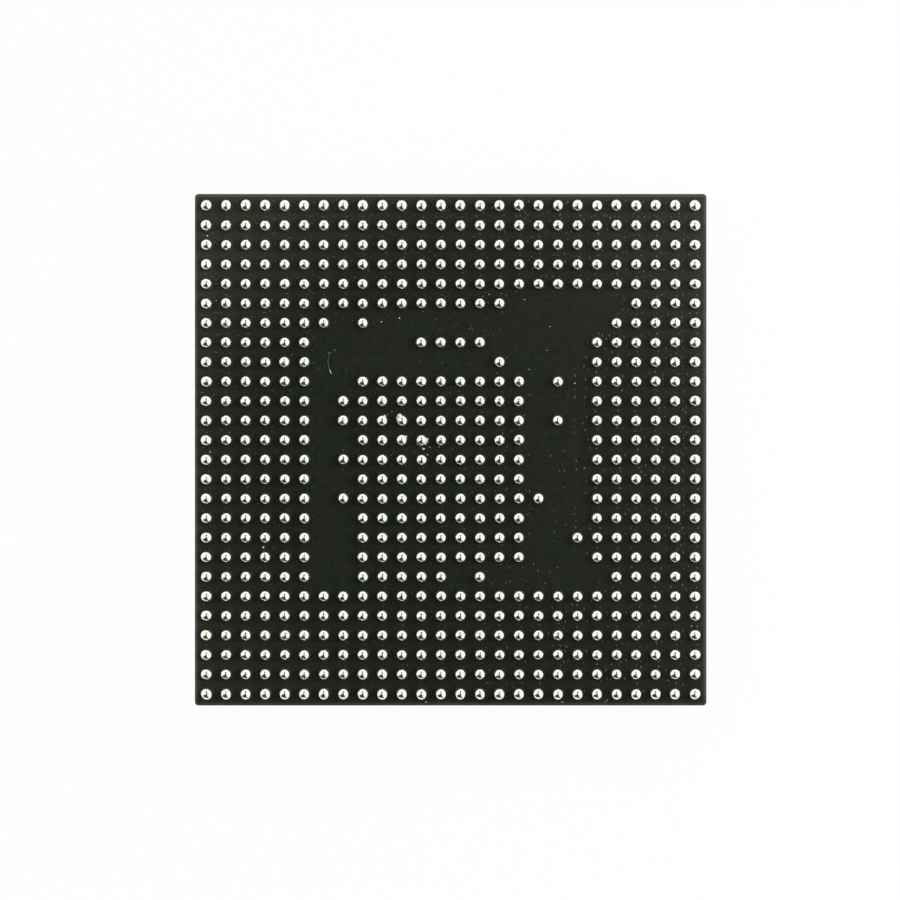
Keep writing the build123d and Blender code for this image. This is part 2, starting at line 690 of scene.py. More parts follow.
@dataclass(frozen=True)
class CrustFinish(Finish):
    """A rough skin of two tones, whose colour, gloss and bumps come from one grain."""

    low: Colour
    high: Colour
    grain_mm: float
    tone_range: Pair
    smooth: float
    dulling: float
    depth_mm: float
    strength: float
    metallic: float = 0.0

    def paint(self, graph: Graph) -> Dict[str, Any]:
        """One tone where the grain is low and the other where it is high, on a skin that follows it.

        Args:
            graph: The material's shader tree.

        Returns:
            The shader's inputs, by name.
        """
        grain = graph.noise(graph.place(), self.grain_mm, 3.0)
        return {
            "Base Color": graph.blend(graph.step(grain, *self.tone_range), self.low, self.high),
            "Metallic": self.metallic,
            "Roughness": self.smooth + grain * self.dulling,
            "Normal": graph.bump(grain, self.depth_mm, self.strength),
        }


@dataclass(frozen=True)
class LintFinish(Finish):
    """A thin grey hair of lint, whitened at its thick end by a painted highlight."""

    grey: Colour = (0.13, 0.135, 0.125)
    # Painted highlight: the colour of the thick end
    painted_highlight: Colour = (0.80, 0.80, 0.76)
    highlight_reach: Pair = (3.20, 3.34)
    fleck_mm: float = 0.05
    fleck_wander: float = 0.2
    matt: float = 0.45
    fleck_dulling: float = 0.2

    def paint(self, graph: Graph) -> Dict[str, Any]:
        """Grey to the white of the painted highlight along the hair, with fine flecks.

        Args:
            graph: The material's shader tree.

        Returns:
            The shader's inputs, by name.
        """
        place = graph.place()
        _, y, _ = graph.parts(place)
        flecks = graph.noise(place, self.fleck_mm, 2.0)
        # Painted highlight: white at the thick end
        grey = graph.step(y / MM + (flecks - 0.5) * self.fleck_wander, *self.highlight_reach)
        return {
            "Base Color": graph.blend(1.0 - grey, self.grey, self.painted_highlight),
            "Roughness": self.matt + flecks * self.fleck_dulling,
        }


# Mask over a via, glossier than the rest, and paler partly for the thinner mask over it and partly as a
# painted glint
COVERED_VIA = FleckFinish("covered_via", first=(0.024, 0.026, 0.018), second=(0.062, 0.064, 0.052),
                          fleck_mm=0.6, smooth=0.06, dulling=0.10, specular=1.0)
# Pale dust, with a little grey in it
PALE_DUST = FleckFinish("pale_dust", first=(0.17, 0.17, 0.155), second=(0.32, 0.32, 0.30),
                        fleck_mm=0.2, smooth=0.6, dulling=0.2)
WHITE_DUST = FleckFinish("white_grain", first=(0.72, 0.72, 0.69), second=(0.88, 0.88, 0.85),
                         fleck_mm=0.2, smooth=0.6, dulling=0.2)
# Dried flux: cream, and yellow in the hollows
DRIED_FLUX = CrustFinish("dried_flux", low=(0.62, 0.57, 0.34), high=(0.92, 0.90, 0.78), grain_mm=0.07,
                         tone_range=(0.35, 0.65), smooth=0.25, dulling=0.20, depth_mm=0.020, strength=0.8)
# Solder that splashed and cooled by itself: as bright as the balls, but frosted
DULL_SOLDER = CrustFinish("dull_solder", low=(0.94, 0.94, 0.89), high=(0.78, 0.78, 0.74), grain_mm=0.06,
                          tone_range=(0.40, 0.65), smooth=0.35, dulling=0.15, depth_mm=0.008, strength=0.6,
                          metallic=1.0)
# Grey oxide that took the shine off a ball
GREY_SKIN = CrustFinish("grey_skin", low=(0.10, 0.10, 0.092), high=(0.26, 0.26, 0.245), grain_mm=0.05,
                        tone_range=(0.38, 0.62), smooth=0.50, dulling=0.20, depth_mm=0.010, strength=0.8,
                        metallic=0.4)


def into_scene(name: str, data: bpy.types.ID) -> bpy.types.Object:
    """Makes an object and links it to the scene.

    Args:
        name: The object's name.
        data: Its mesh, lamp or camera.

    Returns:
        The object, at the origin.
    """
    thing = bpy.data.objects.new(name, data)
    bpy.context.scene.collection.objects.link(thing)
    return thing


def new_piece(name: str, points: np.ndarray, faces: Sequence[Sequence[int]], material: bpy.types.Material,
              flat_faces: Sequence[int] = ()) -> bpy.types.Object:
    """Puts a worked-out surface into the scene as a piece of the chip.

    Args:
        name: The piece's name.
        points: Its corners, in millimetres, one row each.
        faces: The corner numbers of each face.
        material: Its finish.
        flat_faces: Numbers of the faces that aren't smoothed.

    Returns:
        The new object, riding on the chip.
    """
    mesh = bpy.data.meshes.new(name)
    mesh.from_pydata((points * MM).tolist(), [], faces)
    smooth = np.ones(len(mesh.polygons), dtype=bool)
    smooth[list(flat_faces)] = False
    mesh.polygons.foreach_set("use_smooth", smooth)
    mesh.materials.append(material)
    mesh.validate()
    mesh.update()
    piece = into_scene(name, mesh)
    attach(piece, BODY)
    log.info("%s: %d faces", name, len(mesh.polygons))
    return piece


def turns(around: int) -> np.ndarray:
    """The angles of the corners of a ring, in radians."""
    return np.arange(around) / around * tau


def ramp(values: np.ndarray, limits: Pair) -> np.ndarray:
    """A straight ramp: 0 up to the first limit, 1 from the second limit on."""
    return np.clip((values - limits[0]) / (limits[1] - limits[0]), 0.0, 1.0)


def ring_faces(rings: int, around: int) -> np.ndarray:
    """Faces between rings of corners, which are counted ring after ring.

    Args:
        rings: How many rings there are.
        around: How many corners each ring has.

    Returns:
        Four corner numbers for each face.
    """
    corner = np.arange(around)
    after = (corner + 1) % around
    low = np.arange(rings - 1)[:, None] * around
    high = low + around
    return np.stack([low + corner, low + after, high + after, high + corner], axis=-1).reshape(-1, 4)


def dome_faces(rings: int, around: int, copies: int) -> List[List[int]]:
    """Faces of several like domes: each has rings of corners from the foot up, then one corner on top.

    Args:
        rings: How many rings there are under a top.
        around: How many corners each ring has.
        copies: How many domes there are.

    Returns:
        The corner numbers of each face: the walls of all domes, then their tops, then one foot for each.
    """
    corner = np.arange(around)
    last = corner + (rings - 1) * around
    fan = np.stack([last, np.roll(last, -1), np.full(around, rings * around)], axis=-1)
    start = np.arange(copies)[:, None, None] * (rings * around + 1)
    walls = (start + ring_faces(rings, around)).reshape(-1, 4)
    tops = (start + fan).reshape(-1, 3)
    feet = start[:, 0] + corner[::-1]
    return walls.tolist() + tops.tolist() + feet.tolist()


def dome_corners(grids: np.ndarray) -> np.ndarray:
    """The corners of several domes, in the order that dome_faces counts them.

    Args:
        grids: Points by dome, ring and place around, where the last ring is the top.

    Returns:
        One x, y, z row for each corner.
    """
    rings = grids[:, :-1].reshape(len(grids), -1, 3)
    return np.concatenate([rings, grids[:, -1, :1]], axis=1).reshape(-1, 3)


def millimetres(node: str) -> Tuple[np.ndarray, np.ndarray]:
    """The lowest and highest corner of a CAD node, in millimetres."""
    low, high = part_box(node)
    return np.array(low) / MM, np.array(high) / MM


@dataclass
class BallGrid:
    """The solder balls, one piece for each row of the grid.

    A ball is a sphere that its pad cuts off underneath and that sags a little above. Its corners lie on
    rings of latitude, and each ball is a little out of round: r = R (1 + a cos(2 t + p) cos(f)^2 +
    b sin(f)^2), at longitude t and latitude f. Heights above its belly are scaled to its crown, and
    those below it to what is left of its height.
    """

    radius: float = 0.25
    height: float = 0.40
    crown: float = 0.235
    seat_latitude: float = radians(-36.87)
    rings: int = 6
    around: int = 12
    top_slack: float = 0.01
    size_spread: float = 0.008
    oval_spread: float = 0.010
    shift_spread: float = 0.005
    seed: int = 26

    def row_names(self) -> List[str]:
        """The CAD nodes that hold the rows of balls."""
        return sorted(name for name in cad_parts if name.startswith("solder_balls_row"))

    def all_seats(self) -> np.ndarray:
        """The places of all balls, row after row."""
        return np.concatenate([self.seats(node) for node in self.row_names()])

    def seats(self, node: str) -> np.ndarray:
        """The places of a row's balls, read from the tops of its faceted solids.

        Args:
            node: The CAD node of the row.

        Returns:
            One x, y, z row for each ball, in millimetres, at the height of the mask.
        """
        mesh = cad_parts[node].data
        corners = np.empty(len(mesh.vertices) * 3)
        mesh.vertices.foreach_get("co", corners)
        corners = corners.reshape(-1, 3) / MM
        low = corners[:, 2].min()
        high = corners[:, 2].max()
        tops = corners[corners[:, 2] > high - self.top_slack]
        places = np.unique(np.round(tops, 3), axis=0)
        places[:, 2] = low
        return places

    def shape(self, seats: np.ndarray, rng: np.random.Generator) -> np.ndarray:
        """The corners of all balls of a row.

        Args:
            seats: Where the balls stand.
            rng: The source of their small differences.

        Returns:
            Corners in millimetres, ball after ball: its rings from the foot up, then its top.
        """
        count = len(seats)
        latitude = np.linspace(self.seat_latitude, pi / 2, self.rings + 1)[None, :, None]
        longitude = turns(self.around)[None, None, :]
        size = self.radius * (1 + rng.normal(0, self.size_spread, count))[:, None, None]
        oval = rng.normal(0, self.oval_spread, count)[:, None, None]
        turn = rng.uniform(0, tau, count)[:, None, None]
        tall = rng.normal(0, self.oval_spread, count)[:, None, None]
        round_about = 1 + oval * np.cos(2 * longitude + turn) * np.cos(latitude) ** 2
        reach = size * (round_about + tall * np.sin(latitude) ** 2)
        belly = self.height - self.crown
        upper = self.crown / self.radius
        lower = belly / (self.radius * -np.sin(self.seat_latitude))
        rise = np.sin(latitude) * np.where(latitude > 0, upper, lower)
        ball = np.stack([
            reach * np.cos(latitude) * np.cos(longitude),
            reach * np.cos(latitude) * np.sin(longitude),
            reach * (rise - rise[:, :1]) * np.ones_like(longitude),
        ], axis=-1)
        lift = np.minimum(1.0, self.height / ball[:, -1:, :1, 2])
        ball[..., 2] *= lift
        lean = rng.normal(0, self.shift_spread, (count, 1, 1, 2)) * ball[..., 2:3] / self.radius
        ball[..., :2] += lean
        return dome_corners(ball + seats[:, None, None, :])

    def build(self, material: bpy.types.Material) -> List[bpy.types.Object]:
        """Makes the rows of balls.

        Args:
            material: The solder's finish.

        Returns:
            One piece for each row, in place of its CAD node.
        """
        rng = np.random.default_rng(self.seed)
        pieces = []
        for node in self.row_names():
            seats = self.seats(node)
            faces = dome_faces(self.rings, self.around, len(seats))
            feet = np.arange(len(faces) - len(seats), len(faces))
            piece = new_piece(node.replace("solder_balls", "round_balls"), self.shape(seats, rng), faces,
                              material, feet)
            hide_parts(node)
            pieces.append(piece)
        return pieces


@dataclass(frozen=True)
class Lattice:
    """Places on the ball side, counted in ball pitches from the ball at the upper left."""

    mask_top: float
    count: int = 26

    @property
    def middle(self) -> float:
        """The column and row of the chip's middle."""
        return (self.count - 1) / 2

    def point(self, column: np.ndarray, row: np.ndarray, lift: float = 0.0) -> np.ndarray:
        """Points on the mask.

        Args:
            column: Pitches to the right of the first column.
            row: Pitches below the first row.
            lift: Height above the mask, in millimetres.

        Returns:
            One x, y, z row for each, in millimetres.
        """
        column = np.asarray(column, dtype=float)
        row = np.asarray(row, dtype=float)
        height = np.full(column.shape, self.mask_top + lift)
        return np.stack([(column - self.middle) * PITCH, (self.middle - row) * PITCH, height], axis=-1)

    def occupied(self, seats: np.ndarray) -> np.ndarray:
        """Which places of the grid carry a ball.

        Args:
            seats: The places of all balls.

        Returns:
            A square of true and false, by row and column.
        """
        taken = np.zeros((self.count, self.count), dtype=bool)
        columns = np.rint(seats[:, 0] / PITCH + self.middle).astype(int)
        rows = np.rint(self.middle - seats[:, 1] / PITCH).astype(int)
        taken[rows, columns] = True
        return taken


@dataclass(frozen=True)
class ViaRun:
    """A row of vias between two places of the lattice, each given as (column, row)."""

    start: Pair
    end: Pair
    count: int
    wander: float = 0.03

    def places(self, rng: np.random.Generator) -> np.ndarray:
        """Where the vias are, each set off the line at random by the wander.

        Args:
            rng: The source of their scatter.

        Returns:
            The column and row of each.
        """
        share = np.linspace(0.0, 1.0, self.count)[:, None]
        line = np.array(self.start) * (1 - share) + np.array(self.end) * share
        return line + rng.normal(0, self.wander, line.shape)


@dataclass
class CoveredVias:
    """Vias under the mask, which lie on the ball side as low domes.

    A dome is a paraboloid on an oval: z = h (1 - (x / a)^2 - (y / b)^2). Vias stand between the balls,
    more of them at the right and the top than at the lower left, and in runs along the moat. They are
    bold and upright at the right, faint and drawn out across at the upper left, and faint elsewhere.
    Each site is a place in a cell between four balls, and the share of cells that have a via there. What
    makes them wider and longer is given for the upper left and then for the right.
    """

    lattice: Lattice
    radius: Pair = (0.018, 0.062)
    height: Pair = (0.40, 0.55)
    sunk: float = 0.002
    rings: int = 2
    around: int = 8
    clearance: float = 0.30
    wander: float = 0.07
    least_bold: float = 0.25
    least_corners: int = 3
    bold_by_region: Point = (0.40, 0.60, 0.25)
    shown_by_region: Point = (0.20, 0.55, 0.62)
    right_columns: Pair = (10.0, 22.0)
    upper_rows: Pair = (16.0, 0.0)
    right_reach: Pair = (-1.0, 5.0)
    upper_left_reach: Pair = (6.0, 14.0)
    wider: Pair = (1.1, -0.2)
    longer: Pair = (-0.3, 0.4)
    seed: int = 7
    sites: Tuple[Point, ...] = (
        (0.06, 0.54, 0.85),
        (0.47, 0.84, 0.50),
        (0.52, 0.30, 0.45),
        (0.70, 0.56, 0.40),
        (0.32, 0.64, 0.34),
        (0.25, 0.38, 0.40),
        (0.80, 0.24, 0.36),
    )
    runs: Tuple[ViaRun, ...] = (
        ViaRun((24.42, 1.9), (24.42, 15.4), 31),
        ViaRun((24.42, 15.8), (24.42, 24.6), 13, 0.07),
        ViaRun((25.17, 0.55), (25.17, 23.55), 24),
        ViaRun((1.9, 0.55), (25.1, 0.50), 36, 0.06),
        ViaRun((1.5, -0.17), (24.5, -0.17), 24, 0.04),
        ViaRun((-0.2, 0.5), (-0.2, 24.5), 25, 0.09),
        ViaRun((0.52, 0.9), (0.52, 9.0), 17, 0.06),
        ViaRun((0.52, 12.0), (0.52, 20.0), 6, 0.2),
        ViaRun((5.38, 4.5), (5.40, 18.0), 20, 0.05),
        ViaRun((18.87, 8.35), (18.87, 9.80), 5, 0.01),
        ViaRun((18.84, 11.0), (18.84, 11.65), 3, 0.01),
        ViaRun((18.93, 13.1), (18.93, 13.5), 2, 0.01),
        ViaRun((18.85, 15.5), (18.87, 16.5), 4, 0.02),
        ViaRun((19.5, 7.2), (19.45, 14.7), 18, 0.12),
        ViaRun((17.9, 9.9), (17.9, 13.8), 5, 0.15),
        ViaRun((18.38, 12.6), (18.38, 16.4), 5, 0.05),
        ViaRun((17.85, 15.7), (17.78, 17.2), 4, 0.05),
        ViaRun((16.4, 9.8), (16.45, 16.9), 8, 0.08),
        ViaRun((15.4, 7.9), (15.4, 16.8), 9, 0.08),
        ViaRun((8.8, 6.0), (15.2, 6.3), 28, 0.34),
        ViaRun((10.9, 8.08), (13.4, 8.12), 3, 0.05),
        ViaRun((14.3, 18.4), (17.9, 18.6), 9, 0.20),
        ViaRun((14.4, 19.3), (17.2, 19.3), 7, 0.15),
    )

    def showing(self, column: np.ndarray, row: np.ndarray) -> np.ndarray:
        """How likely the vias of a cell are to stand proud.

        Args:
            column: The columns of the cells.
            row: Their rows.

        Returns:
            The likelihood for each cell, from 0 to 1.
        """
        everywhere, at_right, at_top = self.shown_by_region
        right = ramp(column, self.right_columns)
        upper = ramp(row, self.upper_rows)
        return np.clip(everywhere + at_right * right + at_top * upper, 0.0, 1.0)

    def regions(self, places: np.ndarray) -> Tuple[np.ndarray, np.ndarray]:
        """How far each via belongs to two regions of the chip.

        Args:
            places: The places of the vias, in millimetres.

        Returns:
            The shares of the right side and of the upper left, from 0 to 1.
        """
        right = ramp(places[:, 0], self.right_reach)
        upper_left = ramp(places[:, 1] - places[:, 0], self.upper_left_reach)
        return right[:, None, None], upper_left[:, None, None]

    def places(self, seats: np.ndarray, rng: np.random.Generator) -> np.ndarray:
        """Where the vias are.

        Args:
            seats: The places of all balls, which the vias keep clear of.
            rng: The source of their scatter.

        Returns:
            One x, y, z row for each via, in millimetres.
        """
        taken = self.lattice.occupied(seats).astype(int)
        corners = taken[:-1, :-1] + taken[1:, :-1] + taken[:-1, 1:] + taken[1:, 1:]
        rows, columns = np.nonzero(corners >= self.least_corners)
        found = [run.places(rng) for run in self.runs]
        for right, down, share in self.sites:
            kept = rng.random(len(rows)) < share * self.showing(columns, rows)
            site = np.stack([columns[kept] + right, rows[kept] + down], axis=-1)
            found.append(site + rng.normal(0, self.wander, site.shape))
        column, row = np.concatenate(found).T
        points = self.lattice.point(column, row, -self.sunk)
        apart = np.hypot(points[:, None, 0] - seats[None, :, 0], points[:, None, 1] - seats[None, :, 1])
        return points[apart.min(axis=1) > self.clearance]

    def build(self, seats: np.ndarray, material: bpy.types.Material) -> bpy.types.Object:
        """Makes the domes as one piece.

        Args:
            seats: The places of all balls.
            material: Their finish.

        Returns:
            The piece.
        """
        rng = np.random.default_rng(self.seed)
        places = self.places(seats, rng)
        count = len(places)
        share = np.linspace(1.0, 0.0, self.rings + 1)[None, :, None]
        turn = turns(self.around)[None, None, :]
        right, upper_left = self.regions(places)
        least = self.least_bold * right
        everywhere, at_right, at_upper_left = self.bold_by_region
        region = everywhere + at_right * right + at_upper_left * upper_left
        bold = (least + rng.random((count, 1, 1)) * (1.0 - least)) * region
        reach = self.radius[0] + (self.radius[1] - self.radius[0]) * bold
        height = reach * rng.uniform(*self.height, (count, 1, 1))
        width = reach * (1.0 + self.wider[0] * upper_left + self.wider[1] * right)
        length = reach * (1.0 + self.longer[0] * upper_left + self.longer[1] * right)
        dome = np.stack([
            width * share * np.cos(turn),
            length * share * np.sin(turn),
            height * (1 - share ** 2) * np.ones_like(turn),
        ], axis=-1) + places[:, None, None, :]
        faces = dome_faces(self.rings, self.around, count)
        log.info("covered vias: %d", count)
        return new_piece("covered_vias", dome_corners(dome), faces, material)


@dataclass(frozen=True)
class Lump:
    """One grain or crust: lattice column and row, lift and half sizes in millimetres, turn in radians."""

    column: float
    row: float
    lift: float
    half: Point
    turn: float = 0.0


@dataclass
class LumpGroup:
    """Several grains or crusts that are one piece.

    Each is an ellipsoid with a ragged skin, cut flat underneath: its corner at longitude t and latitude
    f lies at the share 1 + a cos(2 t + p) cos(f) + b cos(3 t + q) cos(f)^2 of the half sizes.
    """

    name: str
    lattice: Lattice
    lumps: Tuple[Lump, ...]
    slot: Slot
    ragged: float = 0.09
    foot_latitude: float = radians(-40)
    rings: int = 6
    around: int = 14
    seed: int = 3

    def build(self, material: bpy.types.Material) -> bpy.types.Object:
        """Makes the piece.

        Args:
            material: Its finish.

        Returns:
            The piece.
        """
        rng = np.random.default_rng(self.seed)
        count = len(self.lumps)
        latitude = np.linspace(self.foot_latitude, pi / 2, self.rings + 1)[None, :, None]
        longitude = turns(self.around)[None, None, :]
        swing = rng.uniform(0, tau, (2, count, 1, 1))
        depth = rng.normal(0, self.ragged, (2, count, 1, 1))
        skin = 1 + depth[0] * np.cos(2 * longitude + swing[0]) * np.cos(latitude)
        skin = skin + depth[1] * np.cos(3 * longitude + swing[1]) * np.cos(latitude) ** 2
        half = np.array([lump.half for lump in self.lumps])[:, :, None, None]
        along = half[:, 0] * skin * np.cos(latitude) * np.cos(longitude)
        across = half[:, 1] * skin * np.cos(latitude) * np.sin(longitude)
        up = half[:, 2] * skin * np.sin(latitude)
        turn = np.array([lump.turn for lump in self.lumps])[:, None, None]
        shape = np.stack([
            along * np.cos(turn) - across * np.sin(turn),
            along * np.sin(turn) + across * np.cos(turn),
            up,
        ], axis=-1)
        columns = [lump.column for lump in self.lumps]
        rows = [lump.row for lump in self.lumps]
        places = self.lattice.point(columns, rows)
        places[:, 2] += [lump.lift for lump in self.lumps]
        points = dome_corners(shape + places[:, None, None, :])
        faces = dome_faces(self.rings, self.around, count)
        return new_piece(self.name, points, faces, material)


FLUX_CRUST = (
    Lump(9.895, 10.815, 0.25, (0.115, 0.125, 0.135), 0.5),
    Lump(9.840, 11.020, 0.27, (0.080, 0.070, 0.115), 0.2),
    Lump(9.935, 11.020, 0.33, (0.070, 0.060, 0.075), 0.4),
    Lump(9.830, 10.890, 0.20, (0.085, 0.110, 0.120), 0.9),
)
SOLDER_SPATTER = (
    Lump(11.255, 11.970, 0.23, (0.100, 0.075, 0.11), 0.1),
    Lump(11.235, 12.065, 0.24, (0.100, 0.085, 0.11), 2.6),
    Lump(11.180, 12.170, 0.22, (0.090, 0.065, 0.09), 2.3),
    Lump(10.185, 11.850, 0.24, (0.085, 0.065, 0.09), 0.7),
    Lump(9.135, 10.805, 0.24, (0.060, 0.080, 0.08), 0.4),
)
WHITE_GRAINS = (
    Lump(11.112, 12.460, 0.025, (0.046, 0.046, 0.045), 0.0),
    Lump(11.318, 12.760, 0.013, (0.024, 0.025, 0.024), 0.4),
    Lump(17.590, 6.180, 0.011, (0.018, 0.020, 0.020), 0.1),
    Lump(8.950, 5.940, 0.013, (0.026, 0.030, 0.024), 0.0),
    Lump(9.865, 5.745, 0.013, (0.026, 0.028, 0.024), 0.3),
    Lump(2.885, 17.510, 0.02, (0.044, 0.042, 0.040), 0.2),
    Lump(0.020, 1.525, 0.014, (0.028, 0.026, 0.026), 0.5),
    Lump(0.475, 4.855, 0.011, (0.022, 0.020, 0.020), 0.1),
    Lump(0.155, 12.620, 0.011, (0.020, 0.022, 0.020), 0.4),
    Lump(18.865, 9.100, 0.012, (0.022, 0.026, 0.022), 0.0),
    Lump(14.470, 4.540, 0.011, (0.022, 0.018, 0.020), 0.6),
    Lump(24.850, 21.540, 0.011, (0.026, 0.018, 0.020), 0.8),
)
GREY_FILM = (
    Lump(10.850, 12.170, 0.23, (0.110, 0.080, 0.100), 2.5),
    Lump(10.960, 12.260, 0.17, (0.090, 0.060, 0.080), 0.1),
)
DUST_GRAINS = (
    Lump(6.545, 7.400, 0.01, (0.024, 0.026, 0.02), 0.0),
    Lump(6.243, 7.537, 0.01, (0.030, 0.022, 0.02), 0.5),
    Lump(11.42, 12.37, 0.011, (0.030, 0.025, 0.02), 0.9),
    Lump(11.89, 12.35, 0.01, (0.025, 0.030, 0.02), 0.3),
    Lump(11.02, 12.42, 0.01, (0.030, 0.020, 0.02), 0.8),
    Lump(9.25, 10.70, 0.016, (0.030, 0.025, 0.03), 0.2),
    Lump(9.48, 10.55, 0.011, (0.030, 0.025, 0.02), 1.1),
    Lump(17.44, 7.41, 0.011, (0.030, 0.025, 0.02), 0.9),
    Lump(16.52, 8.38, 0.011, (0.030, 0.030, 0.02), 0.2),
    Lump(16.29, 4.80, 0.016, (0.035, 0.030, 0.03), 0.7),
    Lump(11.23, 25.45, 0.00, (0.050, 0.035, 0.03), 0.2),
    Lump(18.22, 25.45, 0.00, (0.060, 0.035, 0.03), 0.1),
    Lump(20.42, 25.43, 0.00, (0.016, 0.050, 0.02), 0.2),
    Lump(20.54, 25.36, 0.00, (0.016, 0.060, 0.02), -0.3),
)

# Half sizes of fine dust in millimetres, its shape and lift as shares of them, and the grid's own reach
FINE_SIZES: Pair = (0.010, 0.020)
FINE_SHAPE: Point = (1.0, 0.8, 0.7)
FINE_LIFT = 0.4
LATTICE_REACH: Pair = (-0.3, 25.3)


def scattered_fines(count: int, middle: Pair, spread: float, seed: int) -> Tuple[Lump, ...]:
    """Fine dust that lies around a place.

    Args:
        count: How many grains there are.
        middle: The lattice column and row that they lie around.
        spread: How far they lie from it, in pitches.
        seed: The start of the random draws.

    Returns:
        The grains.
    """
    rng = np.random.default_rng(seed)
    places = np.clip(np.array(middle) + rng.normal(0, spread, (count, 2)), *LATTICE_REACH)
    sizes = rng.uniform(*FINE_SIZES, count)
    spins = rng.uniform(0, pi, count)
    halves = sizes[:, None] * np.array(FINE_SHAPE)
    lumps = zip(places.tolist(), (FINE_LIFT * sizes).tolist(), halves.tolist(), spins.tolist())
    return tuple(Lump(*place, lift, tuple(half), spin) for place, lift, half, spin in lumps)


# Around the spatter, then all over the middle
DUST_FINES = scattered_fines(16, (11.3, 12.5), 0.45, 5) + scattered_fines(60, (12.5, 10.0), 6.0, 9)


@dataclass
class Lint:
    """A short fibre that lies on the mask: a thin tube around a cubic Bezier curve.

    The curve is c(t) = (1-t)^3 A + 3 (1-t)^2 t B + 3 (1-t) t^2 C + t^3 D, and the tube's corners lie at
    c(t) + r (cos(a) n + sin(a) z), where n is level and square to the curve. The radius r grows from its
    first value to its second as t^4, and shrinks to a share of itself at both tips.
    """

    lattice: Lattice
    handles: Tuple[Pair, ...] = ((6.46, 7.44), (6.03, 7.78), (6.25, 8.27), (6.37, 8.61))
    lifts: Tuple[float, ...] = (0.002, 0.04, 0.06, 0.005)
    radius: Pair = (0.010, 0.020)
    tip_share: float = 0.35
    tip_growth: float = 6.0
    along: int = 28
    around: int = 6

    def build(self, material: bpy.types.Material) -> bpy.types.Object:
        """Makes the fibre.

        Args:
            material: Its finish.

        Returns:
            The piece.
        """
        column, row = np.array(self.handles).T
        knots = self.lattice.point(column, row)
        knots[:, 2] += self.lifts
        t = np.linspace(0.0, 1.0, self.along)[:, None]
        weights = np.stack([(1 - t) ** 3, 3 * (1 - t) ** 2 * t, 3 * (1 - t) * t ** 2, t ** 3])
        middle = (weights * knots[:, None, :]).sum(axis=0)
        heading = np.gradient(middle, axis=0)
        level = np.stack([-heading[:, 1], heading[:, 0], np.zeros(self.along)], axis=-1)
        level = level / np.linalg.norm(level, axis=1, keepdims=True)
        angle = turns(self.around)[None, :, None]
        ring = level[:, None, :] * np.cos(angle) + np.array([0.0, 0.0, 1.0]) * np.sin(angle)
        from_tip = np.minimum(t, 1 - t)
        taper = np.minimum(1.0, self.tip_share + self.tip_growth * from_tip)[:, None, :]
        thick = self.radius[0] + (self.radius[1] - self.radius[0]) * t[:, None, :] ** 4
        points = middle[:, None, :] + thick * taper * ring
        corner = np.arange(self.around)
        ends = [corner[::-1].tolist(), (corner + (self.along - 1) * self.around).tolist()]
        faces = ring_faces(self.along, self.around).tolist() + ends
        return new_piece("lint_fibre", points.reshape(-1, 3), faces, material)


@dataclass
class ChipSurfaces:
    """The CAD solids that keep their shape and get a finish, which is given by the node's name."""

    finishes: Dict[str, bpy.types.Material]

    def dress(self) -> None:
        """Gives the CAD nodes their finishes."""
        for node, material in self.finishes.items():
            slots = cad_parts[node].data.materials
            slots.clear()
            slots.append(material)
            log.info("%s: %s", node, material.name)


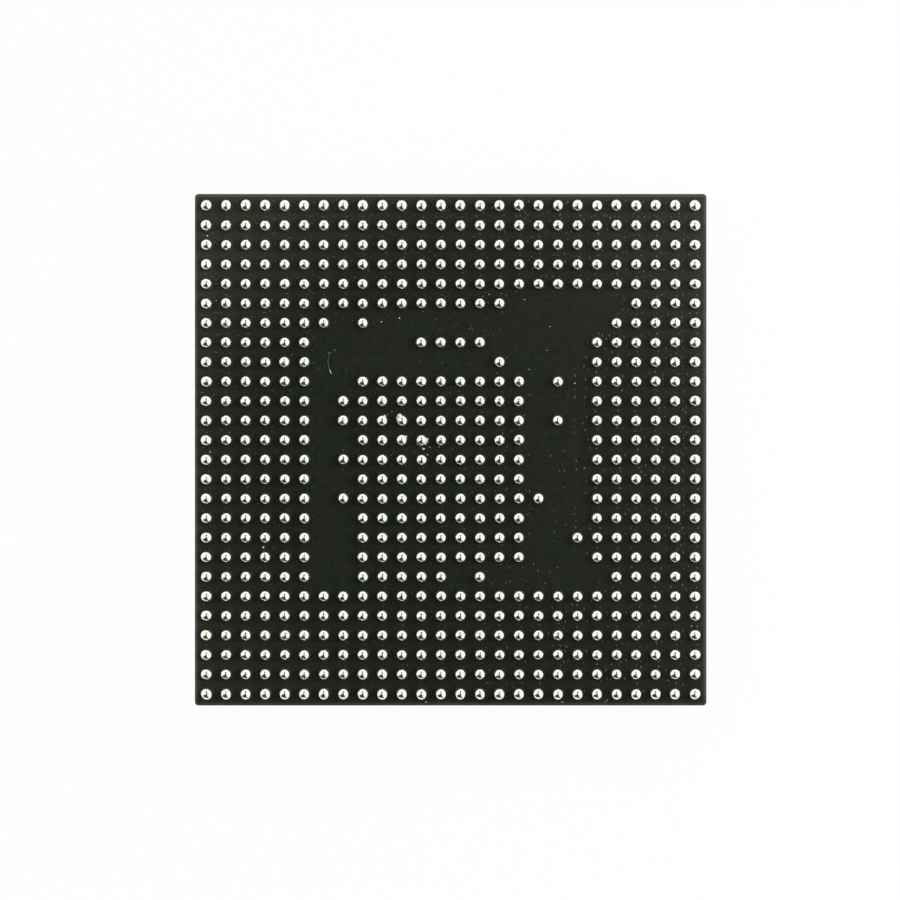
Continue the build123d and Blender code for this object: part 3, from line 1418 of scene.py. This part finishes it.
@dataclass
class Studio:
    """A white tent around the chip, with a dark gap where the camera looks in, and a pale floor.

    The tent is drawn in the coordinates of its mirror image in a ball that is seen from above: a
    direction d is at (u, v) = (d.x, d.y) / sqrt(2 + 2 d.z), so that the middle is overhead and the
    horizon is a circle of radius 0.707.
    """

    tent_light: float = 1.02
    rim_light: float = 0.40
    rim_radius: Pair = (0.50, 0.70)
    gap_light: float = 0.056
    gap_cast: Colour = (1.0, 1.0, 0.72)
    stem_light: float = 0.03
    stem_left: float = 0.095
    stem_right: float = 0.050
    stem_top: float = 0.45
    fork_v: float = 0.00
    left_spread: float = 1.70
    right_spread: float = 0.36
    skirt_radius: float = 0.655
    skirt_right: float = 0.13
    skirt_share: float = 0.95
    skirt_half: float = 0.70
    knob: Point = (0.0, 0.34, 0.13)
    knob_share: float = 0.28
    notch: Point = (0.35, -0.62, 0.12)
    notch_share: float = 0.85
    soft: float = 0.020
    gap_depth: float = 0.25
    nadir_guard: float = 0.0001
    floor_half: float = 1000.0
    floor_gap: float = 0.01
    floor_colour: Colour = (0.82, 0.82, 0.82)
    floor_glow: float = 0.96

    def edge(self, graph: Graph, inward: Wire) -> Wire:
        """A soft edge in the tent's picture: 1 where inward is above zero, 0 where it is below."""
        return graph.step(inward, -self.soft, self.soft)

    def spot(self, graph: Graph, u: Wire, v: Wire, disc: Point) -> Wire:
        """A soft disc in the tent's picture.

        Args:
            graph: The world's shader tree.
            u: The place across.
            v: The place up.
            disc: The disc's middle and radius.

        Returns:
            The share that is inside.
        """
        across = u - disc[0]
        up = v - disc[1]
        off = (across * across + up * up) ** 0.5
        return self.edge(graph, disc[2] - off)

    def tent(self, graph: Graph) -> Tuple[Wire, Wire]:
        """How bright the tent is in each direction.

        Args:
            graph: The world's shader tree.

        Returns:
            The tent's light, and how far the direction lies in its gap.
        """
        x, y, z = graph.parts(graph.node("ShaderNodeTexCoord", output="Generated"))
        scale = (2.0 + self.nadir_guard + 2.0 * z) ** 0.5
        u = x / scale
        v = y / scale
        below = (self.fork_v - v).at_least(0.0)
        from_left = u + self.stem_left + below * self.left_spread
        from_right = self.stem_right + below * self.right_spread - u
        inside = self.edge(graph, from_left) * self.edge(graph, from_right)
        under_top = self.edge(graph, self.stem_top - v)
        radius = (u * u + v * v) ** 0.5
        skirt = graph.step(radius, self.skirt_radius - self.soft, self.skirt_radius + self.soft)
        skirt = skirt * self.edge(graph, self.skirt_right - u)
        skirt = skirt * (1.0 - graph.step(u.magnitude(), 0.0, self.skirt_half))
        gap = inside * under_top * (1.0 - skirt * self.skirt_share)
        gap = gap.at_least(self.spot(graph, u, v, self.knob) * self.knob_share)
        gap = gap.at_least(self.spot(graph, u, v, self.notch) * self.notch_share)
        depth = graph.step(below, 0.0, self.gap_depth)
        gap_light = self.stem_light + depth * (self.gap_light - self.stem_light)
        tent = self.tent_light + self.rim_light * graph.step(radius, *self.rim_radius)
        return tent + gap * (gap_light - tent), gap

    def light_world(self) -> None:
        """Lights the scene by the tent, behind a background that is white to the camera."""
        world = bpy.data.worlds.new("white_tent")
        world.use_nodes = True
        bpy.context.scene.world = world
        graph = Graph(world.node_tree)
        seen = graph.node("ShaderNodeLightPath", output="Is Camera Ray")
        tent, gap = self.tent(graph)
        background = world.node_tree.nodes["Background"]
        cast = graph.blend(gap * (1.0 - seen), WHITE, self.gap_cast)
        graph.plug(background.inputs["Color"], cast)
        graph.plug(background.inputs["Strength"], tent + seen * (1.0 - tent))
        log.info("white_tent: world")

    def lay_floor(self) -> None:
        """Lays a pale floor that looks white and still takes the chip's shadow."""
        half = self.floor_half * MM
        mesh = bpy.data.meshes.new("floor")
        low = -self.floor_gap * MM
        corners = [(-half, -half, low), (half, -half, low), (half, half, low), (-half, half, low)]
        mesh.from_pydata(corners, [], [(0, 1, 2, 3)])
        material = bpy.data.materials.new("pale_floor")
        material.use_nodes = True
        graph = Graph(material.node_tree)
        seen = graph.node("ShaderNodeLightPath", output="Is Camera Ray")
        mirrored = Wire(graph, seen.socket.node.outputs["Is Glossy Ray"])
        through = Wire(graph, seen.socket.node.outputs["Is Transmission Ray"])
        glow = graph.node("ShaderNodeEmission", sockets={"Color": WHITE})
        matt = graph.node("ShaderNodeBsdfDiffuse", sockets={"Color": self.floor_colour})
        share = seen.at_least(mirrored).at_least(through) * self.floor_glow
        mixed = graph.node("ShaderNodeMixShader", sockets={0: share, 1: matt, 2: glow})
        graph.plug(material.node_tree.nodes["Material Output"].inputs["Surface"], mixed)
        mesh.materials.append(material)
        floor = into_scene("floor", mesh)
        log.info("floor: stage")


@dataclass
class KeyLamp:
    """A soft lamp at the far right, which gives the balls their faint shadows."""

    place: Point = (168.0, 36.0, 128.0)
    side: float = 67.0
    watts: float = 0.225

    def build(self) -> None:
        """Hangs the lamp so that it faces the chip."""
        data = bpy.data.lights.new("key_lamp", "AREA")
        data.size = self.side * MM
        data.energy = self.watts
        lamp = into_scene("key_lamp", data)
        lamp.visible_glossy = False
        lamp.location = Vector(self.place) * MM
        lamp.rotation_euler = (-Vector(self.place)).to_track_quat("-Z", "Y").to_euler()
        log.info("key_lamp: %.3f W", self.watts)


@dataclass
class Viewpoint:
    """The camera, straight above the chip."""

    pitch_px: float = 19.547
    picture_px: float = 900.0
    distance: float = 120.0
    aim_z: float = 1.70
    sensor: float = 36.0
    off_centre_px: Pair = (-0.676, -0.288)
    clip: Pair = (1.0, 10000.0)

    def build(self) -> None:
        """Places the camera so that the ball pitch has its size in the picture."""
        millimetre_per_px = PITCH / self.pitch_px
        field = self.picture_px * millimetre_per_px
        data = bpy.data.cameras.new("camera")
        data.sensor_width = self.sensor
        data.lens = self.sensor * self.distance / field
        data.clip_start = self.clip[0] * MM
        data.clip_end = self.clip[1] * MM
        camera = into_scene("camera", data)
        x, y = (np.array(self.off_centre_px) * millimetre_per_px).tolist()
        camera.location = (x * MM, y * MM, (self.aim_z + self.distance) * MM)
        bpy.context.scene.camera = camera
        log.info("camera: lens %.1f mm", data.lens)


def main() -> None:
    """Builds the chip's looks and its studio, in order."""
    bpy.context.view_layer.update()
    bpy.context.scene.view_settings.view_transform = "Standard"
    Viewpoint().build()
    studio = Studio()
    studio.light_world()
    studio.lay_floor()
    KeyLamp().build()
    board_low, board_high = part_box("laminate")
    mask_half, _, mask_top = millimetres("ball_side_mask")[1]
    mask = MaskFinish("olive_mask", mask_half).build()
    ChipSurfaces({
        "ball_side_mask": mask,
        "die_side_mask": mask,
        "laminate": LaminateFinish("sawn_laminate", base_z=board_low.z, top_z=board_high.z).build(),
        "mould_cap": MouldFinish("black_mould").build(),
        "silicon_die": SiliconFinish("ground_silicon").build(),
        "die_attach": AdhesiveFinish("amber_film").build(),
    }).dress()
    balls = BallGrid()
    balls.build(SolderFinish("bright_solder").build())
    lattice = Lattice(mask_top)
    CoveredVias(lattice).build(balls.all_seats(), COVERED_VIA.build())
    Lint(lattice).build(LintFinish("pale_lint").build())
    dust = PALE_DUST.build()
    LumpGroup("flux_crust", lattice, FLUX_CRUST, Slot.SOLDER).build(DRIED_FLUX.build())
    LumpGroup("solder_spatter", lattice, SOLDER_SPATTER, Slot.SOLDER).build(DULL_SOLDER.build())
    LumpGroup("grey_film", lattice, GREY_FILM, Slot.SOLDER).build(GREY_SKIN.build())
    LumpGroup("white_grains", lattice, WHITE_GRAINS, Slot.MASK).build(WHITE_DUST.build())
    LumpGroup("dust_grains", lattice, DUST_GRAINS, Slot.MASK).build(dust)
    LumpGroup("dust_fines", lattice, DUST_FINES, Slot.MASK, rings=2, around=6).build(dust)


if __name__ == "__main__":
    main()
